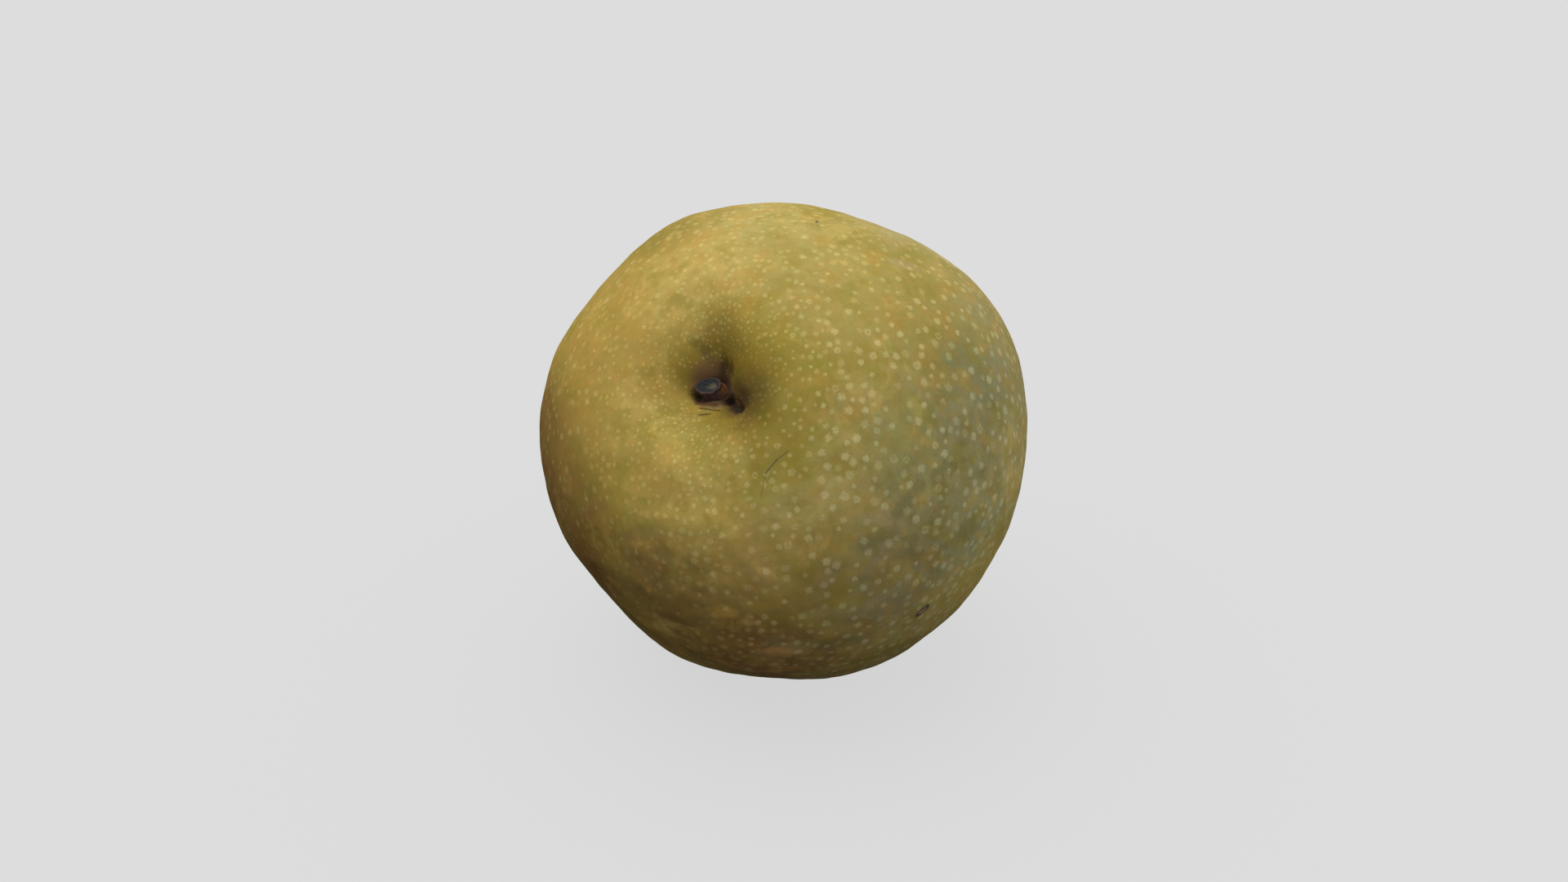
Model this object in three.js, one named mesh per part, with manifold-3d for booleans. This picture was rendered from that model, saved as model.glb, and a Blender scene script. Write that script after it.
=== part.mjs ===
// A round Asian pear: the fruit, its clipped stem in the stem cavity, and the dried calyx at the far end.
// Millimetres, +Z up. The pear lies over on one flank, and the origin is the centre of the small flat
// spot it rests on. Inside the tilted group, +Z is the fruit's own axis, from calyx to stem.
import * as THREE from 'three';
import { mergeVertices } from 'three/addons/utils/BufferGeometryUtils.js';
import Module from 'manifold-3d';

const wasm = await Module();
wasm.setup();

// Fruit body, measured from the middle of its core
const equatorRadius = 41.4;
const stemEndHeight = 39.5;
const calyxEndHeight = 37.6;

// Stem cavity and calyx basin: depth below the full round end, radius, and how square the wall is
const stemCavity = { depth: 11.0, radius: 6.8, wall: 1.25 };
const calyxBasin = { depth: 9.6, radius: 9.0, wall: 1.8 };

// Broad swellings and hollows of the flesh: degrees round the axis, degrees above the equator,
// reach in degrees, and height in millimetres (a hollow is negative)
const swellings = [
  { around: 129, above: 1, reach: 24, height: 1.65 }, // full cheek
  { around: 167, above: 17, reach: 12, height: -0.8 }, // saddle beside the cheek
  { around: 213, above: 38, reach: 14, height: 1.25 }, // shoulder behind the saddle
  { around: 272, above: 36, reach: 19, height: 0.9 }, // opposite shoulder
  { around: 332, above: 14, reach: 18, height: -1.75 }, // flattened lower side
  { around: 8, above: -4, reach: 17, height: -1.3 }, // low side, towards the flat spot
  { around: 197, above: 72, reach: 8, height: -1.0 }, // crease running out of the stem cavity
];

// How the pear lies: lean of its axis from upright, heading of the stem end, and the core's place
const leanDegrees = 52.0;
const headingDegrees = 244.3;
const corePlace = new THREE.Vector3(1.5, 3.0, 38.9);
const restBlockSize = 60;

// Stem stub: an oval twig clipped square, seated in a socket in the cavity floor
const stubHalfLong = 2.1;
const stubHalfShort = 1.45;
const stubSeatDepth = 1.8;
const stubStandHeight = 3.2;
const stubWaistHeight = 1.1;
const stubFootFlare = 0.35;
const stubNeckFlare = 0.18;
const stubHeadScale = 1.04;
const stubEdgeScale = 0.94;
const stubTwistDegrees = 102;
const socketHalfLong = 3.2;
const socketHalfShort = 2.5;
const socketDrop = 2.4;
const socketTaper = 0.62;

// Dried calyx: a cup-shaped disc seated in the basin floor, five sepals and a tuft of old stamens
const discRadius = 3.6;
const discHeight = 3.0;
const discSeatDepth = 0.8;
const discHollowRadius = 2.0;
const discHollowDepth = 1.2;
const sepalCount = 5;
const sepalLength = 5.4;
const sepalWidth = 4.2;
const sepalThickness = 0.8;
const sepalCurl = 1.2;
const sepalFootShare = 1.35;
const sepalTipShare = 0.3;
const tuftFootRadius = 1.2;
const tuftTopRadius = 0.7;
const tuftHeight = 2.6;

// Clear gap left between touching pieces
const clearance = 0.3;

// Mesh fineness
const ringsAlong = 46;
const segmentsAround = 80;
const endCrowding = 0.62;
const twigSegments = 28;
const tuftSegments = 14;
const sepalSegments = 16;
const sepalRings = 10;
const weldDistance = 1e-4;

// Colours, roughness
const skinMaterial = new THREE.MeshStandardMaterial({ color: 0x9a8a4a, roughness: 0.62, metalness: 0 });
const twigMaterial = new THREE.MeshStandardMaterial({ color: 0x6a5448, roughness: 0.85, metalness: 0 });
const calyxMaterial = new THREE.MeshStandardMaterial({ color: 0x4a3a28, roughness: 0.9, metalness: 0 });

// How far a dimple draws the surface in at a given distance from the axis
function dimpleDepth(dimple, distance) {
  return dimple.depth * Math.exp(-((distance / dimple.radius) ** dimple.wall));
}

// Height of the fruit's surface at the bottom of each end's dimple
const cavityFloor = stemEndHeight - stemCavity.depth;
const basinFloor = calyxBasin.depth - calyxEndHeight;

// Half outline of the fruit from calyx end to stem end, with its points crowded towards the ends
function fruitOutline() {
  const points = [];
  for (let ring = 0; ring <= ringsAlong; ring += 1) {
    const along = ring / ringsAlong;
    const turn = Math.PI * (1 - along) + (endCrowding / 2) * Math.sin(2 * Math.PI * along);
    const radius = ring === 0 || ring === ringsAlong ? 0 : equatorRadius * Math.sin(turn);
    const rise = Math.cos(turn);
    const height = rise > 0
      ? stemEndHeight * rise - dimpleDepth(stemCavity, radius)
      : calyxEndHeight * rise + dimpleDepth(calyxBasin, radius);
    points.push(new THREE.Vector2(radius, height));
  }
  return points;
}

// Direction from the core through a place on the fruit
function directionTo(around, above) {
  const longitude = THREE.MathUtils.degToRad(around);
  const latitude = THREE.MathUtils.degToRad(above);
  const level = Math.cos(latitude);
  return new THREE.Vector3(level * Math.cos(longitude), level * Math.sin(longitude), Math.sin(latitude));
}

// Pushes the round body out or in with the broad swellings and hollows
function swell(geometry) {
  const position = geometry.attributes.position;
  const centres = swellings.map((place) => directionTo(place.around, place.above));
  const point = new THREE.Vector3();
  for (let index = 0; index < position.count; index += 1) {
    point.fromBufferAttribute(position, index);
    const direction = point.clone().normalize();
    let push = 0;
    swellings.forEach((place, which) => {
      const away = THREE.MathUtils.radToDeg(direction.angleTo(centres[which]));
      push += place.height * Math.exp(-((away / place.reach) ** 2));
    });
    point.addScaledVector(direction, push);
    position.setXYZ(index, point.x, point.y, point.z);
  }
  return geometry;
}

// Turns a closed three.js geometry into a solid, and a solid back into a geometry
function toSolid(geometry) {
  const bare = geometry.clone();
  bare.deleteAttribute('normal');
  bare.deleteAttribute('uv');
  const merged = mergeVertices(bare, weldDistance);
  const vertProperties = new Float32Array(merged.attributes.position.array);
  const triVerts = new Uint32Array(merged.index.array);
  return new wasm.Manifold(new wasm.Mesh({ numProp: 3, vertProperties, triVerts }));
}

function toGeometry(solid) {
  const mesh = solid.getMesh();
  const geometry = new THREE.BufferGeometry();
  geometry.setAttribute('position', new THREE.BufferAttribute(mesh.vertProperties, 3));
  geometry.setIndex(new THREE.BufferAttribute(mesh.triVerts, 1));
  geometry.computeVertexNormals();
  return geometry;
}

// A lathe turns round +Y, so its result is stood up on +Z
function lathe(points, segments) {
  return new THREE.LatheGeometry(points, segments).rotateX(Math.PI / 2);
}

// An oval plug that stands on +Z from its foot to its top, with a foot and a top radius scale
function ovalPlug(halfLong, halfShort, foot, top, footScale, topScale) {
  const points = [
    new THREE.Vector2(0, foot),
    new THREE.Vector2(footScale, foot),
    new THREE.Vector2(topScale, top),
    new THREE.Vector2(0, top),
  ];
  const plug = lathe(points, twigSegments);
  plug.scale(halfLong, halfShort, 1);
  plug.rotateZ(THREE.MathUtils.degToRad(stubTwistDegrees));
  return plug;
}

// The hole in the cavity floor that the stub stands in, narrower at the bottom
function stemSocket() {
  const foot = cavityFloor - socketDrop;
  const top = cavityFloor + socketDrop;
  return ovalPlug(socketHalfLong, socketHalfShort, foot, top, socketTaper, 2 - socketTaper);
}

// The stub's own seat, one clearance wider than the stub
function stubSeat() {
  const foot = cavityFloor - socketDrop - stubSeatDepth - clearance;
  const halfLong = stubHalfLong + clearance;
  const halfShort = stubHalfShort + clearance;
  return ovalPlug(halfLong, halfShort, foot, cavityFloor, 1 + stubFootFlare, 1);
}

// The round recess in the basin floor that the calyx disc is seated in
function discSeat() {
  const radius = discRadius + clearance;
  const height = discHeight + clearance;
  const seat = new THREE.CylinderGeometry(radius, radius, height, twigSegments);
  return seat.rotateX(Math.PI / 2).translate(0, 0, basinFloor + discSeatDepth + clearance - height / 2);
}

// Everything under the surface the pear rests on, seen from inside the tilted group
function restBlock(tilted) {
  const block = new THREE.BoxGeometry(restBlockSize, restBlockSize, restBlockSize);
  block.translate(0, 0, -restBlockSize / 2);
  return block.applyMatrix4(tilted.matrix.clone().invert());
}

function makeFruit(tilted) {
  const body = toSolid(swell(lathe(fruitOutline(), segmentsAround)));
  const cuts = [stemSocket(), stubSeat(), discSeat(), restBlock(tilted)];
  const fruit = cuts.reduce((solid, cut) => solid.subtract(toSolid(cut)), body);
  return new THREE.Mesh(toGeometry(fruit), skinMaterial);
}

// The clipped stem: a slightly flared oval twig with a waist and a clean cut end
function makeStemStub() {
  const foot = cavityFloor - socketDrop - stubSeatDepth;
  const top = cavityFloor + stubStandHeight;
  const outline = [
    new THREE.Vector2(0, foot),
    new THREE.Vector2(1 + stubFootFlare, foot),
    new THREE.Vector2(1 + stubNeckFlare, cavityFloor - socketDrop),
    new THREE.Vector2(1, cavityFloor + stubWaistHeight),
    new THREE.Vector2(stubHeadScale, top - clearance),
    new THREE.Vector2(stubEdgeScale, top),
    new THREE.Vector2(0, top),
  ];
  const twig = lathe(outline, twigSegments);
  twig.scale(stubHalfLong, stubHalfShort, 1);
  twig.rotateZ(THREE.MathUtils.degToRad(stubTwistDegrees));
  return new THREE.Mesh(twig, twigMaterial);
}

// The calyx disc hangs from the basin floor, with a hollow for the tuft
function makeCalyxDisc() {
  const back = basinFloor + discSeatDepth;
  const front = back - discHeight;
  const outline = [
    new THREE.Vector2(0, front + discHollowDepth),
    new THREE.Vector2(discHollowRadius, front + discHollowDepth),
    new THREE.Vector2(discHollowRadius + clearance, front),
    new THREE.Vector2(discRadius - clearance, front),
    new THREE.Vector2(discRadius, front + clearance),
    new THREE.Vector2(discRadius, back),
    new THREE.Vector2(0, back),
  ];
  return new THREE.Mesh(lathe(outline, twigSegments), calyxMaterial);
}

// Height of the basin's surface at a given distance from the axis
function basinSurface(distance) {
  const bulge = Math.sqrt(1 - (distance / equatorRadius) ** 2);
  return dimpleDepth(calyxBasin, distance) - calyxEndHeight * bulge;
}

// A sepal is a leaf, broad at the disc's rim and pointed at its tip, that curls away from the basin
function makeSepal(which) {
  const leaf = new THREE.SphereGeometry(1, sepalSegments, sepalRings);
  const position = leaf.attributes.position;
  for (let index = 0; index < position.count; index += 1) {
    const along = (position.getX(index) + 1) / 2;
    const halfWidth = (sepalWidth / 2) * THREE.MathUtils.lerp(sepalFootShare, sepalTipShare, along);
    const distance = discRadius + clearance + sepalLength * along;
    const lift = clearance + sepalThickness / 2 + sepalCurl * along ** 2;
    const height = basinSurface(distance) - lift + (sepalThickness / 2) * position.getZ(index);
    position.setXYZ(index, distance, halfWidth * position.getY(index), height);
  }
  leaf.computeVertexNormals();
  const sepal = new THREE.Mesh(leaf, calyxMaterial);
  sepal.rotation.z = (2 * Math.PI * which) / sepalCount;
  return sepal;
}

// The tuft of old stamens stands in the disc's hollow, pointing away from the fruit
function makeTuft() {
  const tuft = new THREE.CylinderGeometry(tuftFootRadius, tuftTopRadius, tuftHeight, tuftSegments);
  tuft.rotateX(Math.PI / 2);
  const hollowFloor = basinFloor + discSeatDepth - discHeight + discHollowDepth;
  tuft.translate(0, 0, hollowFloor - clearance - tuftHeight / 2);
  return new THREE.Mesh(tuft, calyxMaterial);
}

function addNamed(group, name, mesh) {
  mesh.name = name;
  group.add(mesh);
}

// The tilted group holds every piece in the fruit's own frame
const tilted = new THREE.Group();
tilted.rotation.order = 'ZYX';
tilted.rotation.set(0, THREE.MathUtils.degToRad(leanDegrees), THREE.MathUtils.degToRad(headingDegrees));
tilted.position.copy(corePlace);
tilted.updateMatrix();
addNamed(tilted, 'fruit', makeFruit(tilted));
addNamed(tilted, 'stem_stub', makeStemStub());
addNamed(tilted, 'calyx_disc', makeCalyxDisc());
for (let which = 0; which < sepalCount; which += 1) {
  addNamed(tilted, `sepal_${which + 1}`, makeSepal(which));
}
addNamed(tilted, 'stamen_tuft', makeTuft());

const pear = new THREE.Group();
pear.add(tilted);

export default pear;
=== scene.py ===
# A round Asian pear lying over on one flank: skin with its pale dots, clipped stem, dried calyx.
import math
import random

import bmesh
import bpy
from mathutils import Matrix, Vector, kdtree, noise


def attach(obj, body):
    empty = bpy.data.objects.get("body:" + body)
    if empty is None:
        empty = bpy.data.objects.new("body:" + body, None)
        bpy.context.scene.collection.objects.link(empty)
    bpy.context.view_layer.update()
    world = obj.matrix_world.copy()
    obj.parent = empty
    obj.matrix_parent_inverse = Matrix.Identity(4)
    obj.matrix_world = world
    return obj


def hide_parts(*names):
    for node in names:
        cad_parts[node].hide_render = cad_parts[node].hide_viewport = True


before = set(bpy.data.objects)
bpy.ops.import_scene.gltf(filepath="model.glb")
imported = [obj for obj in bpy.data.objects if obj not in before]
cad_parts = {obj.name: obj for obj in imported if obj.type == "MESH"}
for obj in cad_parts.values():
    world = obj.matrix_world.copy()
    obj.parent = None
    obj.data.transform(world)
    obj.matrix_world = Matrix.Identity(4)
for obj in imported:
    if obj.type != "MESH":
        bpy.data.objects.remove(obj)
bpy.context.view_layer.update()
mm = 0.001
print("frame loaded:", len(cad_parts), "nodes")

# The flesh and how it lies, as in the CAD model. In the fruit's own frame +Z runs from calyx to stem.
pear = {
    "equatorRadius": 41.4 * mm,
    "stemEndHeight": 39.5 * mm,
    "calyxEndHeight": 37.6 * mm,
    "stemCavity": {"depth": 11.0 * mm, "radius": 6.8 * mm, "wall": 1.25},
    "calyxBasin": {"depth": 9.6 * mm, "radius": 9.0 * mm, "wall": 1.8},
    "lean": math.radians(52.0),
    "heading": math.radians(244.3),
    "corePlace": Vector((1.5, 3.0, 38.9)) * mm,
    # degrees round the axis, degrees above the equator, reach in degrees, height
    "swellings": [
        (129, 1, 24, 1.65 * mm),  # full cheek
        (167, 17, 12, -0.8 * mm),  # saddle beside the cheek
        (213, 38, 14, 1.25 * mm),  # shoulder behind the saddle
        (272, 36, 19, 0.9 * mm),  # opposite shoulder
        (332, 14, 18, -1.75 * mm),  # flattened lower side
        (8, -4, 17, -1.3 * mm),  # low side, towards the flat spot
        (197, 72, 8, -1.0 * mm),  # crease running out of the stem cavity
    ],
}
lie = (
    Matrix.Translation(pear["corePlace"])
    @ Matrix.Rotation(pear["heading"], 4, "Z")
    @ Matrix.Rotation(pear["lean"], 4, "Y")
)
cavityFloor = pear["stemEndHeight"] - pear["stemCavity"]["depth"]
basinFloor = pear["calyxBasin"]["depth"] - pear["calyxEndHeight"]


def placeOf(*parts):
    return Vector(parts) * mm


def directionTo(around, above):
    longitude, latitude = math.radians(around), math.radians(above)
    level = math.cos(latitude)
    return Vector((level * math.cos(longitude), level * math.sin(longitude), math.sin(latitude)))


def smoothStep(low, high, value):
    part = min(1.0, max(0.0, (value - low) / (high - low)))
    return part * part * (3 - 2 * part)


def blend(low, high, part):
    return low + (high - low) * part


def nearSegment(point, start, end):
    along = end - start
    part = min(1.0, max(0.0, (point - start).dot(along) / along.length_squared))
    return (point - start - along * part).length, part


def addObject(name, data):
    thing = bpy.data.objects.new(name, data)
    bpy.context.scene.collection.objects.link(thing)
    return thing


def finishPiece(bm, name):
    mesh = bpy.data.meshes.new(name)
    bm.to_mesh(mesh)
    bm.free()
    mesh.shade_smooth()
    return addObject(name, mesh)


def rideAs(piece, slotName, *nodes):
    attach(piece, "root")
    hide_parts(*nodes)


def addPiece(bm, name, material, slotName, node):
    piece = finishPiece(bm, name)
    piece.data.materials.append(material)
    rideAs(piece, slotName, node)
    print(name + ":", len(piece.data.polygons), "faces")


def addNode(tree, kind, inputs=None, **settings):
    node = tree.nodes.new("ShaderNode" + kind)
    for name, value in settings.items():
        setattr(node, name, value)
    for name, value in (inputs or {}).items():
        socket = node.inputs[name]
        if isinstance(value, bpy.types.NodeSocket):
            tree.links.new(value, socket)
        elif socket.type == "RGBA" and len(value) == 3:
            socket.default_value = (*value, 1)
        else:
            socket.default_value = value
    return node


def mathOf(tree, operation, first, second, clamp=False):
    inputs = {0: first, 1: second}
    return addNode(tree, "Math", inputs, operation=operation, use_clamp=clamp).outputs[0]


def productOf(tree, first, second, clamp=False):
    return mathOf(tree, "MULTIPLY", first, second, clamp)


def ranged(tree, value, fromLow, fromHigh, toLow=0.0, toHigh=1.0):
    names = {"Value": value, "From Min": fromLow, "From Max": fromHigh, "To Min": toLow, "To Max": toHigh}
    return addNode(tree, "MapRange", names, interpolation_type="SMOOTHSTEP").outputs["Result"]


def mixed(tree, amount, under, over, way="MIX"):
    inputs = {0: amount, 6: under, 7: over}
    return addNode(tree, "Mix", inputs, data_type="RGBA", blend_type=way).outputs[2]


def noiseOf(tree, place, scale, detail=2.0, roughness=0.5, stretch=None, output="Fac"):
    if stretch:
        place = addNode(tree, "Mapping", {"Vector": place, "Scale": stretch}).outputs[0]
    names = {"Vector": place, "Scale": scale, "Detail": detail, "Roughness": roughness}
    return addNode(tree, "TexNoise", names).outputs[output]


def newGroup(name, inputs, outputs):
    tree = bpy.data.node_groups.new(name, "ShaderNodeTree")
    for label, kind in inputs.items():
        tree.interface.new_socket(label, in_out="INPUT", socket_type="NodeSocket" + kind)
    for label, kind in outputs.items():
        tree.interface.new_socket(label, in_out="OUTPUT", socket_type="NodeSocket" + kind)
    return tree, tree.nodes.new("NodeGroupInput").outputs, tree.nodes.new("NodeGroupOutput").inputs


def useGroup(tree, group, inputs):
    return addNode(tree, "Group", inputs, node_tree=group).outputs


def vectorOf(tree, operation, *inputs):
    return addNode(tree, "VectorMath", dict(enumerate(inputs)), operation=operation).outputs


def emptyTree(owner):
    owner.use_nodes = True
    owner.node_tree.nodes.clear()
    return owner.node_tree


def newMaterial(name):
    material = bpy.data.materials.new(name)
    tree = emptyTree(material)
    surface = addNode(tree, "BsdfPrincipled")
    addNode(tree, "OutputMaterial", {"Surface": surface.outputs[0]})
    return material, tree, surface


def ownPlace(tree):
    # the fruit's own frame, in millimetres
    place = addNode(tree, "TexCoord").outputs["Object"]
    turn = {"Vector": place, "Location": pear["corePlace"], "Scale": (mm, mm, mm),
            "Rotation": (0.0, pear["lean"], pear["heading"])}
    return addNode(tree, "Mapping", turn, vector_type="TEXTURE").outputs[0]


def dressSurface(tree, surface, colour, rough, height, look):
    strength, distance = look["relief"]
    relief = {"Height": height, "Strength": strength, "Distance": distance}
    bump = addNode(tree, "Bump", relief).outputs[0]
    for name, socket in {"Base Color": colour, "Roughness": rough, "Normal": bump}.items():
        tree.links.new(socket, surface.inputs[name])
    surface.inputs["Specular IOR Level"].default_value = look["specular"]


def makeSoftRoundAreaGroup():
    # a soft round area about a centre: 1 inside its core, 0 past its reach; it places blushes, stains and
    # painted light and shade
    inputs = {"Place": "Vector", "Centre": "Vector", "Reach": "Float", "Core": "Float"}
    tree, given, made = newGroup("softRoundArea", inputs, {"Mask": "Float"})
    away = vectorOf(tree, "DISTANCE", given["Place"], given["Centre"])["Value"]
    tree.links.new(ranged(tree, away, given["Reach"], given["Core"]), made["Mask"])
    return tree


def makeScratchGroup():
    # a line from one point to another, with a wavering edge
    inputs = {"Place": "Vector", "From": "Vector", "To": "Vector", "Width": "Float"}
    tree, given, made = newGroup("scratchLine", inputs, {"Mask": "Float"})
    run = vectorOf(tree, "SUBTRACT", given["To"], given["From"])[0]
    out = vectorOf(tree, "SUBTRACT", given["Place"], given["From"])[0]
    reached = vectorOf(tree, "DOT_PRODUCT", out, run)["Value"]
    square = vectorOf(tree, "DOT_PRODUCT", run, run)["Value"]
    share = mathOf(tree, "DIVIDE", reached, square, clamp=True)
    foot = addNode(tree, "VectorMath", {0: run, "Scale": share}, operation="SCALE").outputs[0]
    away = vectorOf(tree, "DISTANCE", out, foot)["Value"]
    waver = noiseOf(tree, given["Place"], 2.5)
    width = productOf(tree, given["Width"], ranged(tree, waver, 0.25, 0.75, 0.6, 1.3))
    tree.links.new(ranged(tree, mathOf(tree, "DIVIDE", away, width), 1.0, 0.35), made["Mask"])
    return tree


def makeFibreGroup():
    # dry fibre, drawn out along Z, with fine specks
    tree, given, made = newGroup(
        "dryFibre", {"Place": "Vector", "Scale": "Float"}, {"Shade": "Float", "Height": "Float"})
    strands = noiseOf(tree, given["Place"], given["Scale"], 4.0, 0.6, (1.0, 1.0, 0.22))
    finer = productOf(tree, given["Scale"], 3.5)
    specks = noiseOf(tree, given["Place"], finer, 3.0)
    both = mathOf(tree, "ADD", productOf(tree, strands, 0.7), productOf(tree, specks, 0.3))
    tree.links.new(ranged(tree, both, 0.34, 0.66), made["Shade"])
    tree.links.new(both, made["Height"])
    return tree


softRoundArea = makeSoftRoundAreaGroup()
scratchLine = makeScratchGroup()
dryFibre = makeFibreGroup()


def areaMask(tree, place, centre, reach, core):
    area = {"Place": place, "Centre": centre, "Reach": reach, "Core": core}
    return useGroup(tree, softRoundArea, area)["Mask"]


studio = {
    "aim": placeOf(1.85, 2.6, 39.42),
    "distance": 186 * mm,
    "elevation": math.radians(25),
    "lens": 24.45,
    "sensor": 36,
    "floorHalf": 9.0,
    "floorPaint": 0.55,
    "floorGlow": 0.745,
    "glowShare": 0.85,  # how much of the floor's brightness is its own glow
    "backdrop": 0.723,
    "skyTop": 0.92,
    "skySide": 0.31,
    "skyUnder": 0.03,
    "skyLevels": (0.35, 0.55, 1.0),  # where under, side and top stand
    "skyTilt": 0.9,  # how much brighter it is behind to the right, and darker to the left
    "skyTiltDepth": (-0.2, 0.8),  # how far back that begins, and where it is full
    # direction, power, spread, tint
    "suns": {
        "softSun": (Vector((-0.36, 0.2, 1.0)), 1.3, math.radians(70), (1.0, 1.0, 1.0)),
        "coolFill": (Vector((0.8, -0.5, 0.05)), 0.2, math.radians(60), (0.86, 0.95, 1.0)),
    },
}


def makeCamera():
    camera = addObject("viewCamera", bpy.data.cameras.new("viewCamera"))
    back = Vector((0, -math.cos(studio["elevation"]), math.sin(studio["elevation"])))
    camera.location = studio["aim"] + back * studio["distance"]
    camera.rotation_mode = "QUATERNION"
    camera.rotation_quaternion = (-back).to_track_quat("-Z", "Y")
    camera.data.lens = studio["lens"]
    camera.data.sensor_width = studio["sensor"]
    camera.data.clip_start = 0.01
    camera.data.clip_end = 40
    bpy.context.scene.camera = camera


def makeSky():
    world = bpy.data.worlds.new("studioSky")
    bpy.context.scene.world = world
    tree = emptyTree(world)
    place = addNode(tree, "TexCoord").outputs["Generated"]
    side, depth, height = addNode(tree, "SeparateXYZ", {"Vector": place}).outputs
    behind = productOf(tree, side, ranged(tree, depth, *studio["skyTiltDepth"]))
    tilt = mathOf(tree, "ADD", productOf(tree, behind, studio["skyTilt"]), 1.0)
    share = addNode(tree, "MapRange", {"Value": height, "From Min": -1.0, "From Max": 1.0})
    ramp = addNode(tree, "ValToRGB", {"Fac": share.outputs["Result"]})
    stops = ramp.color_ramp.elements
    under, level, top = studio["skyLevels"]
    stops[0].position, stops[1].position = under, top
    stops[0].color = (studio["skyUnder"],) * 3 + (1,)
    stops[1].color = (studio["skyTop"],) * 3 + (1,)
    stops.new(level).color = (studio["skySide"],) * 3 + (1,)
    glow = addNode(tree, "Background", {"Color": ramp.outputs["Color"], "Strength": tilt})
    seen = addNode(tree, "Background", {"Color": (studio["backdrop"],) * 3})
    direct = addNode(tree, "LightPath").outputs["Is Camera Ray"]
    mix = addNode(tree, "MixShader", {0: direct, 1: glow.outputs[0], 2: seen.outputs[0]})
    addNode(tree, "OutputWorld", {"Surface": mix.outputs[0]})


def makeSuns():
    for name, (direction, power, spread, tint) in studio["suns"].items():
        sun = addObject(name, bpy.data.lights.new(name, "SUN"))
        sun.rotation_mode = "QUATERNION"
        sun.rotation_quaternion = direction.normalized().to_track_quat("Z", "Y")
        sun.data.energy = power
        sun.data.angle = spread
        sun.data.color = tint


def makeFloor():
    bm = bmesh.new()
    bmesh.ops.create_grid(bm, x_segments=1, y_segments=1, size=studio["floorHalf"])
    floor = finishPiece(bm, "studioFloor")
    material = bpy.data.materials.new("paleFloor")
    tree = emptyTree(material)
    paint = addNode(tree, "BsdfDiffuse", {"Color": (studio["floorPaint"],) * 3})
    glow = addNode(tree, "Emission", {"Color": (studio["floorGlow"],) * 3})
    shaders = {0: studio["glowShare"], 1: paint.outputs[0], 2: glow.outputs[0]}
    mix = addNode(tree, "MixShader", shaders)
    addNode(tree, "OutputMaterial", {"Surface": mix.outputs[0]})
    floor.data.materials.append(material)
    floor.visible_diffuse = False
    floor.visible_glossy = False


skin = {
    "cuts": 124,  # keeps the skin under 190,000 triangles
    "endCrowding": 0.68,  # how much closer the points stand at the stem
    "endReach": 0.13,
    "broadWave": (8.0 * mm, 0.19 * mm),  # length and height of the uneven flesh
    "fineWave": (2.4 * mm, 0.03 * mm),
    "roughSide": (placeOf(30, 8, 26), 20 * mm, 1.5),  # where it is rougher, and how much
    "discSeat": (3.9 * mm, 0.9 * mm),  # radius and depth of the calyx's seat
    "discSeatWall": (0.8, 1.05),  # where its wall stands, as shares of the radius
    "pressFade": 0.35 * mm,  # how softly the flat spot begins
}
# The pit that the stem stands in and the grooves round it, across the axis
pit = {
    "centre": placeOf(0.55, 0.9),
    "halfLong": 3.5 * mm,
    "halfShort": 1.85 * mm,
    "turn": math.radians(98),
    "drop": 0.9 * mm,
    "crispWall": 0.3,  # share of the way out over which the wall falls
    "softWall": 0.9,  # the same on the soft side
    "softSide": Vector((-0.7, 0.7)),
    "softTurn": (-0.2, 1.0),  # cosines from that side between which the wall grows soft
    "edge": 16 * mm,  # nothing is sunk farther out than this
    "grooveEnd": (0.55, 0.5),  # width and depth left at a groove's end
    # start, end, width and depth in millimetres, how square
    "grooves": [
        ((1.0, 3.3), (3.0, 7.9), 1.0, 2.2, 4),  # crevice beside the stem
        ((-0.4, 2.4), (2.0, 7.4), 2.9, 1.6, 2),  # hollow along the crevice
        ((1.0, -2.2), (2.0, -1.6), 0.5, 1.8, 3),  # gap at the stem's other end
        ((-1.7, 1.1), (-3.9, 1.3), 0.5, 0.8, 2),  # slit above the stem
        ((-3.5, 1.8), (-10.0, 2.0), 1.8, 0.5, 2),  # soft crease beyond the slit
    ],
    # flesh grown up against the stem: place, reach and rise in millimetres
    "collars": [((-1.8, -0.6), 1.7, 1.2), ((2.1, 0.9), 1.3, 1.5)],
}


def dimpleDepth(dimple, distance):
    return dimple["depth"] * math.exp(-((distance / dimple["radius"]) ** dimple["wall"]))


def outlineAt(turn):
    radius = pear["equatorRadius"] * math.sin(turn)
    rise = math.cos(turn)
    if rise > 0:
        return radius, pear["stemEndHeight"] * rise - dimpleDepth(pear["stemCavity"], radius)
    return radius, pear["calyxEndHeight"] * rise + dimpleDepth(pear["calyxBasin"], radius)


def roundBlank(cuts):
    bm = bmesh.new()
    bmesh.ops.create_cube(bm, size=2)
    bmesh.ops.subdivide_edges(bm, edges=bm.edges[:], cuts=cuts, use_grid_fill=True)
    for vert in bm.verts:
        vert.co = Vector([math.tan(math.pi / 4 * part) for part in vert.co]).normalized()
    return bm


def shapeFlesh(bm):
    centres = [(directionTo(around, above), math.radians(reach), height)
               for around, above, reach, height in pear["swellings"]]
    for vert in bm.verts:
        share = math.acos(max(-1.0, min(1.0, vert.co.z))) / math.pi
        crowd = 1 - skin["endCrowding"] * math.exp(-((share / skin["endReach"]) ** 2))
        radius, height = outlineAt(math.pi * share * crowd)
        around = math.atan2(vert.co.y, vert.co.x)
        place = Vector((radius * math.cos(around), radius * math.sin(around), height))
        direction = place.normalized()
        push = sum(height * math.exp(-((direction.angle(centre) / reach) ** 2))
                   for centre, reach, height in centres)
        vert.co = place + direction * push


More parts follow.
